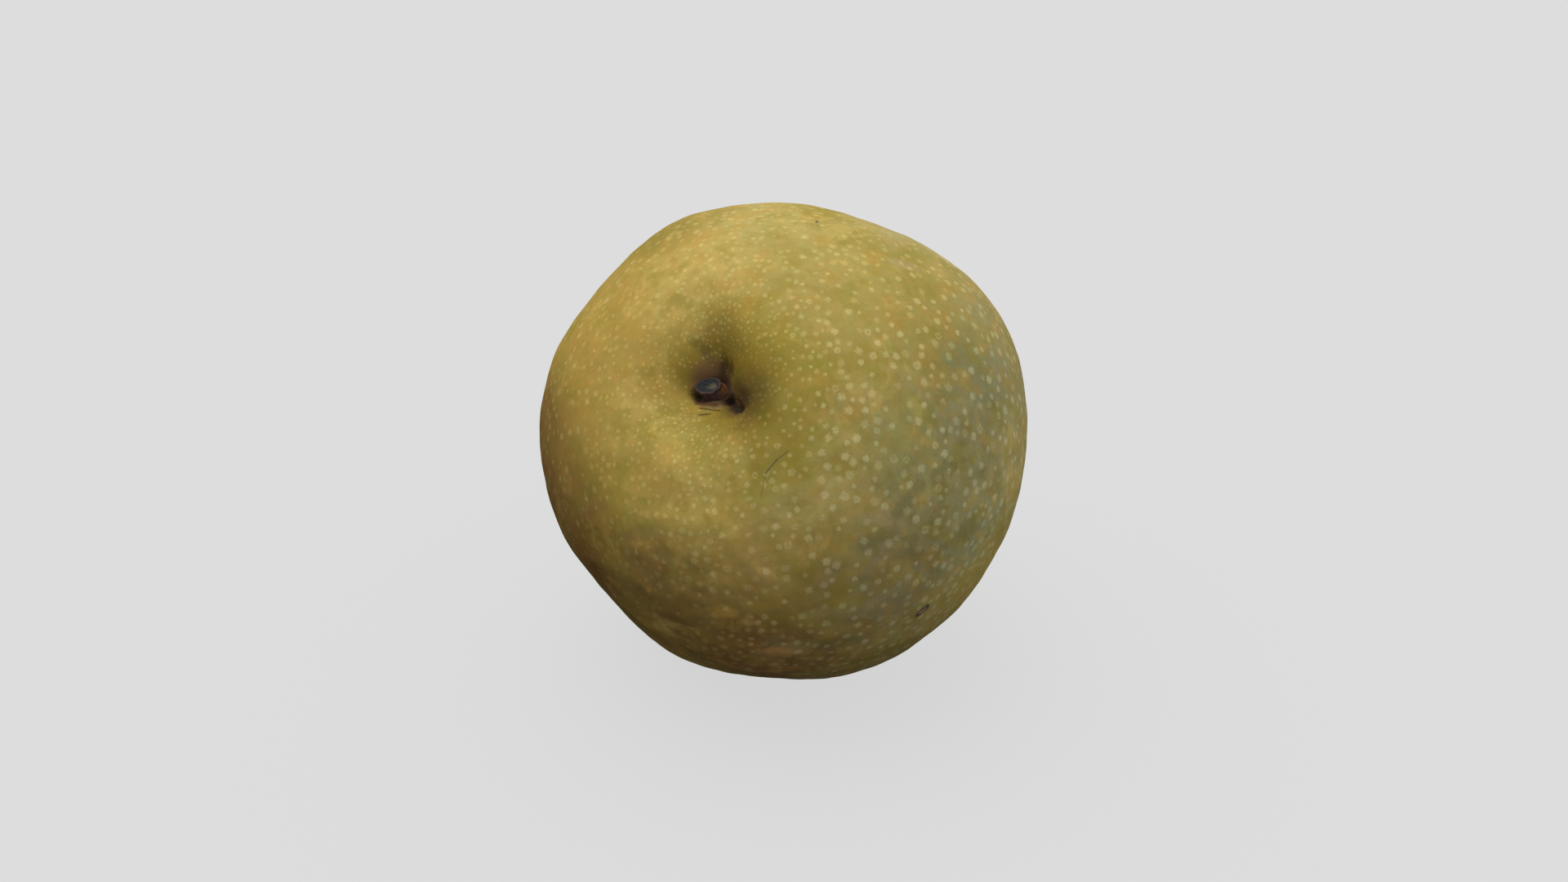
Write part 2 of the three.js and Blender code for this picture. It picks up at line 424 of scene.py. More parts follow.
def roughenSkin(bm):
    bm.normal_update()
    broadLength, broadHeight = skin["broadWave"]
    fineLength, fineHeight = skin["fineWave"]
    roughAt, roughReach, roughMore = skin["roughSide"]
    for vert in bm.verts:
        more = 1 + roughMore * math.exp(-(((vert.co - roughAt).length / roughReach) ** 2))
        broad = noise.fractal(vert.co / broadLength, 1.0, 2.0, 3)
        fine = noise.noise(vert.co / fineLength)
        vert.co += vert.normal * (broad * broadHeight + fine * fineHeight) * more


def sinkPit(bm):
    longWay = Vector((math.cos(pit["turn"]), math.sin(pit["turn"])))
    endWidth, endDepth = pit["grooveEnd"]
    grooves = [(Vector(start) * mm, Vector(end) * mm, width * mm, depth * mm, square)
               for start, end, width, depth, square in pit["grooves"]]
    collars = [(Vector(place) * mm, reach * mm, height * mm) for place, reach, height in pit["collars"]]
    for vert in bm.verts:
        flat = vert.co.xy
        if vert.co.z < 0 or flat.length > pit["edge"]:
            continue
        out = flat - pit["centre"]
        across = out.dot(longWay) / pit["halfLong"]
        aside = out.cross(longWay) / pit["halfShort"]
        soft = smoothStep(*pit["softTurn"], out.normalized().dot(pit["softSide"]))
        wall = blend(pit["crispWall"], pit["softWall"], soft)
        socket = pit["drop"] * (1 - smoothStep(1 - wall, 1.0, math.hypot(across, aside)))
        cut = 0.0
        for start, end, width, depth, square in grooves:
            away, part = nearSegment(flat, start, end)
            narrow = width * blend(1.0, endWidth, part)
            cut += depth * blend(1.0, endDepth, part) * math.exp(-((away / narrow) ** square))
        rise = sum(height * math.exp(-(((flat - place).length / reach) ** 2))
                   for place, reach, height in collars)
        vert.co.z += rise - max(socket, cut)


def sinkDiscSeat(bm):
    radius, depth = skin["discSeat"]
    for vert in bm.verts:
        if vert.co.z < 0 and vert.co.xy.length < 2 * radius:
            share = 1 - smoothStep(*skin["discSeatWall"], vert.co.xy.length / radius)
            vert.co.z += (basinFloor + depth - vert.co.z) * share


def pressRestSpot(bm):
    fade = skin["pressFade"]
    for vert in bm.verts:
        if vert.co.z < fade:
            vert.co.z = fade * math.exp((vert.co.z - fade) / fade)


# Pale breathing dots: close and small round the stem, wide and large on the cheek
dots = {
    "seed": 7,
    "tries": 44000,
    # by the stem, away from it, on the cheek, and how much more on the sunny side
    "gap": (1.0 * mm, 2.2 * mm, 2.5 * mm, 1.35),
    "size": (0.24 * mm, 0.50 * mm, 0.61 * mm, 1.15),
    "stemReach": (6 * mm, 29 * mm),
    "cheek": placeOf(8, 34, 14),  # where they are largest and palest
    "cheekReach": (20 * mm, 50 * mm),
    "sunnySide": placeOf(2, -24, 30),
    "sunnyReach": (10 * mm, 32 * mm),
    # where they are faint: place, reach, share of their strength left
    "faint": [
        (placeOf(0.6, 7.2, 34.6), (3.5 * mm, 11 * mm), 0.25),  # the dark wall beside the stem
        (placeOf(34, -16, 12), (14 * mm, 38 * mm), 0.45),  # the brown side
    ],
    "bareRadius": 3.4 * mm,  # none on the flesh right round the stem
    "sizeSpread": (0.6, 1.2),
    "strengthSpread": (0.5, 1.1),
    "offCheek": 0.66,  # strength away from the cheek
    "coolArea": (44, 16),  # reach and core about the cheek
    "ownColour": 0.5,  # share of it over the lightened skin
    "cover": 0.9,
    "crumble": 0.38,  # how ragged the outline is
    "edge": (1.2, 0.6),  # shares of the size where a dot begins and is full
    "middle": (0.55, 0.1),  # the same for the darker middle
    "middleKinds": (0.72, 1.0),  # the kinds that have it
    "middleStrength": 0.85,
    "thinnest": 0.65,  # strength of the thinnest specks
    "crowding": 2.1,  # makes up for the dots dropped as too close
    "closest": 0.53,  # share of the gap that two dots may come to
}


def dotLook(own, draw):
    fromStem = own.xy.length if own.z > 0 else pear["equatorRadius"]
    grown = smoothStep(*dots["stemReach"], fromStem)
    cheek = 1 - smoothStep(*dots["cheekReach"], (own - dots["cheek"]).length)
    sunny = 1 - smoothStep(*dots["sunnyReach"], (own - dots["sunnySide"]).length)
    gap, size = (blend(byStem, blend(away, onCheek, cheek), grown) * blend(1.0, more, sunny)
                 for byStem, away, onCheek, more in (dots["gap"], dots["size"]))
    size *= draw.uniform(*dots["sizeSpread"])
    strength = blend(dots["offCheek"], 1.0, cheek) * draw.uniform(*dots["strengthSpread"])
    for place, reach, left in dots["faint"]:
        strength *= blend(left, 1.0, smoothStep(*reach, (own - place).length))
    return gap, Vector((size, strength, draw.random()))


def scatterDots(bm):
    draw = random.Random(dots["seed"])
    toOwn = lie.inverted()
    areas = [face.calc_area() for face in bm.faces]
    tryGap = math.sqrt(sum(areas) / dots["tries"])
    cell = dots["gap"][2]
    taken, kept = {}, []
    for face in draw.choices(bm.faces[:], weights=areas, k=dots["tries"]):
        corners = [vert.co for vert in face.verts]
        across, up = draw.random(), draw.random()
        place = corners[0].lerp(corners[1], across).lerp(corners[3].lerp(corners[2], across), up)
        own = toOwn @ place
        gap, look = dotLook(own, draw)
        dropped = draw.random() > dots["crowding"] * (tryGap / gap) ** 2
        if dropped or own.z > 0 and own.xy.length < dots["bareRadius"]:
            continue
        key = [math.floor(part / cell) for part in place]
        near = [taken.get((key[0] + i, key[1] + j, key[2] + k), ())
                for i in (-1, 0, 1) for j in (-1, 0, 1) for k in (-1, 0, 1)]
        closest = dots["closest"] * gap
        if any((place - other).length < closest for group in near for other in group):
            continue
        taken.setdefault(tuple(key), []).append(place)
        kept.append((place, look))
    print("skin dots:", len(kept))
    return kept


def markDots(bm, kept):
    tree = kdtree.KDTree(len(kept))
    for index, (place, _) in enumerate(kept):
        tree.insert(place, index)
    tree.balance()
    centreLayer = bm.faces.layers.float_vector.new("dotCentre")
    lookLayer = bm.faces.layers.float_vector.new("dotLook")
    for face in bm.faces:
        index = tree.find(face.calc_center_median())[1]
        face[centreLayer], face[lookLayer] = kept[index]


skinColours = {
    "base": (0.462, 0.359, 0.095),
    "gold": (0.637, 0.472, 0.127),
    "pale": (0.577, 0.467, 0.157),
    "tan": (0.507, 0.329, 0.065),
    "olive": (0.377, 0.292, 0.049),
    "moss": (0.342, 0.269, 0.029),
    # deepOlive paints shade in the stem cavity
    "deepOlive": (0.21, 0.145, 0.014),
    "greyGreen": (0.367, 0.337, 0.177),
    "haze": (0.315, 0.325, 0.19),
    "greyBrown": (0.378, 0.31, 0.15),
    "smudge": (0.215, 0.205, 0.08),
    "brownSmudge": (0.245, 0.178, 0.068),
    # brown is partly painted shade, on the left rim and, with the skin's russet, on the underside
    "brown": (0.282, 0.167, 0.045),
    "rust": (0.472, 0.297, 0.092),
    "redBrown": (0.3, 0.155, 0.055),
    # creaseBrown, pitBrown, wallBrown, pitDark and deepBrown paint shade in the crease and the stem
    # cavity, wallBrown also real streaks; redLip is the reddish lip darkened as painted shade
    "creaseBrown": (0.24, 0.16, 0.03),
    "pinkBrown": (0.215, 0.115, 0.062),
    "pitBrown": (0.15, 0.09, 0.055),
    "wallBrown": (0.082, 0.048, 0.012),
    "pitDark": (0.022, 0.013, 0.012),
    "redLip": (0.1, 0.05, 0.024),
    "deepBrown": (0.055, 0.028, 0.012),
    "warmDot": (0.7, 0.565, 0.2),
    "coolDot": (0.63, 0.59, 0.29),
    "dotLift": (1.5, 1.6, 2.2),
    "coolTint": (0.97, 1.01, 1.01),
    "warmTint": (1.04, 0.985, 0.97),
    "scar": (0.075, 0.05, 0.07),
    "paleScar": (0.58, 0.44, 0.3),
    "pinkScar": (0.28, 0.165, 0.075),
}
finish = {
    # noise: scale per millimetre, detail, roughness, stretch
    "sway": (0.09, 3.0),
    "broad": (0.085, 3.0, 0.55),
    "patches": (0.2, 3.0, 0.5, (1.15, 0.75, 1.0)),
    "other": (0.16, 4.0, 0.6),
    "mottle": (0.75, 3.0, 0.6),
    "grain": (2.4, 4.0, 0.7),
    "hue": (0.5, 3.0, 0.6),
    "swayReach": 24.0,  # how far the blushes' edges wander, in millimetres
    "mottleShade": (0.95, 1.02),
    "grainShade": (0.96, 1.04),
    # strength of the patches
    "tanPatches": 0.5,
    "olivePatches": 0.55,
    "goldPatches": 0.4,
    "smudges": 0.5,
    "greenOnBrown": 0.2,  # share of the olive patches left on the brown side
    "dotRelief": 0.6,
    "grainRelief": 0.5,
    "relief": (0.35, 0.06 * mm),  # strength and height
    "roughness": (0.6, 0.75),
    "dullPit": ((1.0, 4.0, 32.0), 9, 6),  # where it is fully rough: centre, reach, core
    "specular": 0.1,
}
# blushes and painted shade: colour, centre in the fruit's own frame, reach, core, strength
blushesAndShade = {
    "sunnySide": ("tan", (3, -20, 32), 32, 12, 0.85),
    "sunnyBack": ("tan", (-20, -26, 18), 34, 6, 0.8),
    "sunnyLow": ("tan", (16, -34, 8), 30, 4, 0.7),
    # leftEdge and leftRim: painted shade darkening the left rim
    "leftEdge": ("olive", (8, -28, 29), 11, 2, 0.6),
    "leftRim": ("brown", (17, -33, 19), 18, 5, 0.75),
    "upperRim": ("olive", (-26, -16, 27), 12, 3, 0.7),
    "shoulder": ("gold", (-14, -6, 36), 14, 3, 0.9),
    "lipSide": ("gold", (8, -10, 36), 8, 2, 0.6),
    "brow": ("gold", (18, 6, 34), 16, 3, 0.65),
    "crest": ("pale", (11, 19, 33), 12, 3, 0.85),
    "cheek": ("greyGreen", (5, 37, 18), 26, 5, 0.8),
    "farCheek": ("greyGreen", (-12, 38, 4), 26, 4, 0.65),
    "cavitySide": ("moss", (2, 11, 36), 15, 6, 0.9),
    # cavityBack and cavityLeft: olive skin, made darker as painted shade on the cavity's walls
    "cavityBack": ("olive", (-8, 0, 35), 8, 3, 0.9),
    "cavityLeft": ("olive", (8, -4, 36), 7, 2, 0.8),
    "topEdge": ("pale", (-27, 0, 28), 14, 2, 0.6),
    "farTop": ("olive", (-17, 30, 22), 14, 2, 0.4),
    "haze": ("haze", (-16, 35, 16), 14, 2, 0.6),
    # lowSide, lowLeft, bottom, under and rest: brown of the underside, partly its own russet and partly
    # painted shade
    "lowSide": ("brown", (34, -3, 21), 20, 9, 0.9),
    "lowLeft": ("brown", (23, -11, 31), 11, 2, 0.4),
    "lowFront": ("rust", (27, 13, 25), 20, 5, 0.4),
    "lowCheek": ("greyBrown", (21, 30, 18), 13, 5, 0.9),
    "lowEdge": ("haze", (10, 38, 10), 11, 2, 0.75),
    "bottom": ("brown", (36, 13, 15), 19, 7, 0.85),
    "bottomRim": ("redBrown", (38, 11, 8), 14, 4, 0.8),
    "under": ("brown", (36, -22, 4), 30, 8, 0.7),
    "rest": ("brown", (30, 8, -22), 38, 10, 0.55),
}
# the same for the flesh round the stem, from the outside in: painted shade in the crease and the stem
# cavity, and the pink flesh's own colour
stainsAndShade = {
    "crease": ("creaseBrown", (-7.0, 1.2, 34.6), 6.0, 1.5, 0.55),
    "hollow": ("deepOlive", (0.2, 6.8, 34.5), 11.2, 3.0, 0.8),
    "leftWall": ("deepOlive", (-1.4, -2.6, 31.6), 5.2, 1.5, 0.6),
    "pinkFlesh": ("pinkBrown", (-1.6, -0.3, 30.8), 4.4, 1.8, 0.85),
    "darkWall": ("wallBrown", (1.1, 8.2, 35.4), 6.0, 2.0, 0.68),
    "innerWall": ("wallBrown", (0.4, 4.8, 33.0), 3.6, 1.0, 0.8),
    "wallShade": ("deepBrown", (2.0, 7.0, 35.0), 3.4, 1.2, 0.8),
    "backWall": ("deepBrown", (-3.2, 2.5, 32.6), 2.2, 0.6, 0.65),
    "floor": ("pitBrown", (1.2, 1.5, 28.4), 5.0, 3.6, 0.9),
}
# painted light and shade multiplied over the skin, partly its own hue: tint, centre, reach, core
paintedLightTones = {
    "dusk": ((0.68, 0.61, 0.67), (20, -30, 18), 26, 15),
    "lowLeftDusk": ((0.88, 0.8, 0.84), (27.5, -16, 24), 10, 3),
    "lowLeftRim": ((1.42, 1.4, 1.55), (40, -3, 5), 12, 3),
    "topDusk": ((0.87, 0.86, 0.8), (-26, -17, 26), 14, 3),
    "rightGlow": ((1.27, 1.27, 1.24), (5, 41, -3), 26, 11),
    "cheekDusk": ((0.85, 0.87, 0.84), (-8, 35, 19), 13, 3),
    "topGlow": ((1.12, 1.14, 1.4), (-34.6, 20, 12), 10, 2),
    "saddle": ((0.87, 0.87, 0.88), (3.6, -7, 35.4), 6, 2),
    "lip": ((0.89, 0.88, 0.84), (6.3, 13.4, 36.2), 7, 2),
    "crestGlow": ((1.11, 1.11, 1.28), (10.6, 19, 33.6), 8, 2),
    "crestHaze": ((1.01, 1.03, 1.32), (1.5, 19, 34.8), 8, 2),
    "warmBack": ((1.02, 1.0, 0.88), (-8, 7, 36), 8, 3),
    "lowGlow": ((1.12, 1.1, 1.1), (22.5, -4, 33), 7, 2),
    "frontGlow": ((1.14, 1.11, 1.2), (22.4, 13.5, 30.5), 9, 3),
    "lowDusk": ((0.85, 0.83, 0.86), (32, 0, 25.4), 9, 2),
    "pitFront": ((1.35, 1.35, 1.5), (3.9, 7.2, 35.4), 2.6, 1),
    "farDusk": ((0.92, 0.93, 0.94), (-17, 28, 24), 11, 3),
    "midWarm": ((0.97, 0.96, 0.88), (5, 18, 35), 12, 4),
    "lowWarm": ((0.96, 0.95, 0.9), (22, 22, 26), 11, 4),
    "coolFoot": ((1.06, 1.03, 1.14), (32, 17, 18.5), 7, 2),
    "coolCorner": ((1.08, 1.08, 1.14), (35, -3, 20.5), 6, 2),
    "rightWall": ((1.16, 1.14, 1.3), (-2.8, 8.6, 35.8), 4, 1.2),
    "leftWall": ((1.12, 1.12, 1.1), (-4.3, -3.2, 33.7), 3.5, 1),
    "frontLip": ((0.86, 0.86, 0.84), (5.6, -1.9, 34.2), 4.5, 1.2),
    "coolLip": ((1.0, 1.0, 1.2), (6.0, 2.5, 35.0), 6, 1.5),
    "bottomDusk": ((1.0, 0.88, 0.93), (34.6, 13, 15.4), 12, 3),
    "sideDusk": ((0.88, 0.9, 0.9), (19, 30.4, 19.7), 7, 2),
    "cornerDusk": ((0.92, 0.91, 0.87), (28, 27, 12.8), 7, 2),
    "coolRim": ((1.04, 1.05, 1.48), (33, 23, -2), 28, 5),
    "coolFront": ((1.02, 1.0, 1.14), (24, 21, 26), 9, 3),
    "coolTop": ((0.97, 1.0, 1.26), (-35, 18, 9), 20, 6),
    "cheekGlow": ((1.13, 1.11, 1.24), (15, 28.5, 24.5), 8, 2),
    "greenCheek": ((0.93, 1.0, 1.0), (1.5, 30.5, 26.5), 9, 3),
    "rimDusk": ((0.91, 0.91, 0.9), (4, 38.5, 14), 7, 2),
}
# colour, from and to in degrees round and above, width in degrees, strength; under the dots
shades = [
    ("smudge", (79.2, 35.2), (70.7, 36.7), 2.4, 0.5),
    ("smudge", (66.1, 34.9), (58.9, 37.7), 2.6, 0.35),
    ("smudge", (24, 27), (35, 21), 2.6, 0.5),
    ("brown", (345, 46), (0, 47), 2.8, 0.6),
    ("pitDark", (73.0, 84.6), (67.5, 77.2), 1.7, 0.85),  # painted shadow in the crevice beside the stem
    ("pitDark", (298.0, 85.0), (333.0, 85.1), 1.2, 0.6),  # painted shadow in the gap at its other end
    ("wallBrown", (211.0, 78.8), (191.0, 81.1), 1.6, 0.3),  # painted shade above the left wall
    ("wallBrown", (160.0, 81.6), (141.1, 84.4), 1.6, 0.45),  # painted shade in the fold above the stem
    ("pitBrown", (147.0, 86.0), (161.0, 82.9), 0.9, 0.8),  # painted shadow in the slit above it
]
# the same, over the dots
marks = [
    ("scar", (65.8, 62.6), (59.7, 63.2), 0.2, 0.45),  # scratch below the cavity
    ("scar", (59.7, 63.2), (51.9, 62.8), 0.25, 0.6),
    ("smudge", (50.5, 62.4), (44.5, 59.6), 0.28, 0.45),
    ("scar", (54.9, 11.4), (57.1, 11.6), 1.35, 0.8),  # ring scar
    ("paleScar", (55.4, 11.5), (56.7, 11.5), 0.5, 0.9),
    ("scar", (167.9, 39.0), (167.0, 40.0), 0.45, 0.7),  # fleck at the top
    ("smudge", (166.0, 41.0), (165.3, 41.9), 0.4, 0.4),
    ("paleScar", (143.0, 35.6), (140.1, 31.0), 2.4, 0.22),  # rubbed patch
    ("redLip", (335.0, 85.4), (40.0, 84.3), 1.2, 0.9),  # reddish lip under the stem, darkened as painted shade
    ("pinkScar", (18.0, 84.0), (50.0, 82.0), 1.1, 0.4),
    ("wallBrown", (356.4, 84.0), (48.3, 81.3), 0.36, 0.75),  # streaks on it
    ("wallBrown", (7.7, 82.1), (27.5, 82.0), 0.5, 0.7),
    ("pinkBrown", (196.5, 81.7), (185.4, 83.0), 1.3, 0.4),  # blotch above it
]


def asDirection(around, above):
    return tuple(directionTo(around, above) * math.degrees(1))


def makeDotMask(tree, own):
    # a crumbly pale disc, in some with a darker middle
    place = addNode(tree, "TexCoord").outputs["Object"]
    centre = addNode(tree, "Attribute", attribute_name="dotCentre").outputs["Vector"]
    look = addNode(tree, "Attribute", attribute_name="dotLook").outputs["Vector"]
    size, strength, kind = addNode(tree, "SeparateXYZ", {"Vector": look}).outputs
    away = vectorOf(tree, "DISTANCE", place, centre)["Value"]
    crumb = noiseOf(tree, own, 3.2, 2.0, 0.7)
    wobble = ranged(tree, crumb, 0.2, 0.8, -dots["crumble"], dots["crumble"])
    out = mathOf(tree, "ADD", mathOf(tree, "DIVIDE", away, size), wobble)
    disc = ranged(tree, out, *dots["edge"])
    hasMiddle = ranged(tree, kind, *dots["middleKinds"])
    hollow = productOf(tree, ranged(tree, out, *dots["middle"]), hasMiddle)
    speck = ranged(tree, noiseOf(tree, own, 6.0, 2.0, 0.6), 0.35, 0.6, dots["thinnest"], 1.0)
    grainy = productOf(tree, disc, speck)
    ring = mathOf(tree, "SUBTRACT", grainy, productOf(tree, hollow, dots["middleStrength"]), clamp=True)
    return productOf(tree, ring, strength)


def layOver(tree, colour, mask, strength, name):
    return mixed(tree, productOf(tree, mask, strength), colour, skinColours[name])


def layLines(tree, colour, degrees, lines):
    for shade, start, end, width, strength in lines:
        line = {"Place": degrees, "From": asDirection(*start), "To": asDirection(*end), "Width": width}
        colour = layOver(tree, colour, useGroup(tree, scratchLine, line)["Mask"], strength, shade)
    return colour


def makeSkinMaterial():
    material, tree, surface = newMaterial("pearSkin")
    own = ownPlace(tree)
    heading = vectorOf(tree, "NORMALIZE", own)[0]
    turns = {0: heading, "Scale": math.degrees(1)}
    degrees = addNode(tree, "VectorMath", turns, operation="SCALE").outputs[0]
    sway = noiseOf(tree, own, *finish["sway"], output="Color")
    centred = vectorOf(tree, "SUBTRACT", sway, (0.5, 0.5, 0.5))[0]
    moved = vectorOf(tree, "MULTIPLY_ADD", centred, (finish["swayReach"],) * 3, own)[0]

    # soft watery patches, broad and small, with painted shade among the blushes
    broad = noiseOf(tree, own, *finish["broad"])
    patchy = noiseOf(tree, own, *finish["patches"])
    other = noiseOf(tree, moved, *finish["other"])
    colour = mixed(tree, ranged(tree, broad, 0.32, 0.55), skinColours["olive"], skinColours["base"])
    masks = {}
    for name, (shade, centre, reach, core, strength) in blushesAndShade.items():
        masks[name] = areaMask(tree, moved, centre, reach, core)
        uneven = productOf(tree, masks[name], ranged(tree, other, 0.3, 0.6, 0.5, 1.0))
        colour = layOver(tree, colour, uneven, strength, shade)
    # the brown underside, partly painted shade, keeps fewer olive patches
    brown = mathOf(tree, "MAXIMUM", masks["lowSide"], masks["under"])
    offBrown = ranged(tree, brown, 0.0, 1.0, 1.0, finish["greenOnBrown"])
    green = productOf(tree, ranged(tree, patchy, 0.49, 0.36), offBrown)
    colour = layOver(tree, colour, ranged(tree, patchy, 0.5, 0.64), finish["tanPatches"], "tan")
    colour = layOver(tree, colour, green, finish["olivePatches"], "olive")
    colour = layOver(tree, colour, ranged(tree, other, 0.52, 0.66), finish["goldPatches"], "gold")
    dips = ranged(tree, other, 0.48, 0.36)
    for name, shade in (("cheek", "smudge"), ("lowSide", "brownSmudge")):
        where = productOf(tree, dips, masks[name])
        colour = layOver(tree, colour, where, finish["smudges"], shade)

    # flesh round the stem with its painted shade, painted light and shade over the skin, creases and
    # smudges
    for shade, centre, reach, core, strength in stainsAndShade.values():
        colour = layOver(tree, colour, areaMask(tree, own, centre, reach, core), strength, shade)
    for tint, centre, reach, core in paintedLightTones.values():
        mask = areaMask(tree, own, centre, reach, core)
        colour = mixed(tree, mask, colour, tint, "MULTIPLY")
    colour = layLines(tree, colour, degrees, shades)

    # the dots, warm on the sunny side and cool on the cheek
    cool = areaMask(tree, own, tuple(dots["cheek"] / mm), *dots["coolArea"])
    ownDot = mixed(tree, cool, skinColours["warmDot"], skinColours["coolDot"])
    lighter = mixed(tree, 1.0, colour, skinColours["dotLift"], "MULTIPLY")
    dotColour = mixed(tree, dots["ownColour"], lighter, ownDot)
    dot = makeDotMask(tree, own)
    colour = mixed(tree, productOf(tree, dot, dots["cover"], clamp=True), colour, dotColour)
    colour = layLines(tree, colour, degrees, marks)

    # fine mottling, pores and grain
    mottle = noiseOf(tree, own, *finish["mottle"])
    grain = noiseOf(tree, own, *finish["grain"])
    hue = noiseOf(tree, own, *finish["hue"])
    tint = mixed(tree, ranged(tree, hue, 0.35, 0.65), skinColours["coolTint"], skinColours["warmTint"])
    colour = mixed(tree, 1.0, colour, tint, "MULTIPLY")
    coarse = ranged(tree, mottle, 0.32, 0.62, *finish["mottleShade"])
    both = productOf(tree, ranged(tree, grain, 0.3, 0.7, *finish["grainShade"]), coarse)
    tint = addNode(tree, "CombineColor", {0: both, 1: both, 2: both}).outputs[0]
    colour = mixed(tree, 1.0, colour, tint, "MULTIPLY")
    raised = productOf(tree, dot, finish["dotRelief"])
    relief = mathOf(tree, "ADD", raised, productOf(tree, grain, finish["grainRelief"]))
    dull = areaMask(tree, own, *finish["dullPit"])
    rough = mathOf(tree, "MAXIMUM", ranged(tree, grain, 0.3, 0.7, *finish["roughness"]), dull)
    dressSurface(tree, surface, colour, rough, relief, finish)
    return material


def makeFruit():
    bm = roundBlank(skin["cuts"])
    shapeFlesh(bm)
    roughenSkin(bm)
    sinkPit(bm)
    sinkDiscSeat(bm)
    bm.transform(lie)
    pressRestSpot(bm)
    markDots(bm, scatterDots(bm))
    addPiece(bm, "pearFruit", makeSkinMaterial(), "skin", "fruit")


def raisePlug(bm, segments, levels):
    # a closed plug through levels of height and radius along Z; returns its end face
    height, radius = levels[0]
    ring = bmesh.ops.create_circle(bm, cap_ends=True, segments=segments, radius=radius)["verts"]
    bmesh.ops.translate(bm, verts=ring, vec=(0, 0, height))
    foot = face = ring[0].link_faces[0]
    for nextHeight, nextRadius in levels[1:]:
        raised = bmesh.ops.extrude_face_region(bm, geom=[face])["geom"]
        if face != foot:
            bmesh.ops.delete(bm, geom=[face], context="FACES_ONLY")
        verts = [part for part in raised if isinstance(part, bmesh.types.BMVert)]
        share = nextRadius / radius
        bmesh.ops.scale(bm, verts=verts, vec=(share, share, 1))
        bmesh.ops.translate(bm, verts=verts, vec=(0, 0, nextHeight - height))
        face = next(part for part in raised if isinstance(part, bmesh.types.BMFace))
        height, radius = nextHeight, nextRadius
    bmesh.ops.recalc_face_normals(bm, faces=bm.faces[:])
    return face


stem = {
    "halfLong": 2.1 * mm,
    "halfShort": 1.45 * mm,
    "twist": math.radians(102),
    "segments": 84,
    # height above the cavity floor, and radius as a share of the oval
    "levels": [(-2.4, 1.36), (-1.6, 1.32), (-0.8, 1.26), (0.0, 1.2), (0.8, 1.12), (1.5, 1.04),
               (2.1, 0.98), (2.6, 1.02), (2.95, 1.05), (3.12, 1.02), (3.2, 0.95), (3.18, 0.88),
               (3.06, 0.8), (2.98, 0.66), (3.0, 0.46), (3.04, 0.3), (2.95, 0.2), (2.93, 0.1)],
    "ridges": 9,
    "ridgeHeight": 0.07,
    "ridgeShare": 0.4,  # of the even ridges beside the rough bark
    "ridgeWander": 1.5 * mm,
    "barkLength": 0.8 * mm,
    "wave": (1.2 * mm, 0.14 * mm),  # length and height of the uneven ends
    "cutTilt": 0.25,  # slope of the cut end, rising towards the near side
    "nearSide": math.radians(18),
    "lean": placeOf(-0.34, -0.2),  # of the top over the foot
    "leanHeights": (-0.5 * mm, 3 * mm),  # where the lean begins and is full
    "tiltHeights": (0.8 * mm, 3 * mm),
    "narrowing": 0.3,  # of the oval towards its two ends
    "pithShift": placeOf(0.05, 0.6),
    "pithEdge": (0.52, 0.26),  # shares of the oval where it begins and is full
    "rimEdge": (0.72, 0.88),
    "ragged": 0.14,  # how far these edges wander
    "fibreScale": 2.0,
    "cutHeights": (2.7, 2.95),  # where the bark ends and the cut face is full
    # the flank's lit side: orange-brown bark painted brighter
    "litWarmSide": ((-1.5, 2.2, 31.2), 2.6, 1.0),  # centre, reach, core
    "litWarmShare": 0.85,
    "relief": (0.7, 0.2 * mm),  # strength and height
    "roughness": (0.65, 0.9),
    "specular": 0.25,
    "bark": (0.3, 0.18, 0.14),
    "barkDark": (0.15, 0.09, 0.08),
    "barkLitWarm": (0.58, 0.27, 0.09),
    # the cut end's rim, wood and pith colours are painted darker as the cavity's shade
    "rim": (0.085, 0.055, 0.05),
    "wood": (0.012, 0.018, 0.02),
    "woodFleck": (0.07, 0.074, 0.066),
    "pith": (0.05, 0.042, 0.03),
    "pithFleck": (0.21, 0.17, 0.11),
}


def ovalShare(tree, place):
    # 1 on the stem's outline, 0 at its middle
    twist = {"Vector": place, "Rotation": (0.0, 0.0, -stem["twist"])}
    turned = addNode(tree, "Mapping", twist, vector_type="POINT").outputs[0]
    shares = {"Vector": turned, "Scale": (mm / stem["halfLong"], mm / stem["halfShort"], 0.0)}
    flat = addNode(tree, "Mapping", shares, vector_type="POINT").outputs[0]
    return vectorOf(tree, "LENGTH", flat)["Value"]


def shiftedBy(tree, place, shift):
    return vectorOf(tree, "SUBTRACT", place, tuple((shift / mm).to_3d()))[0]


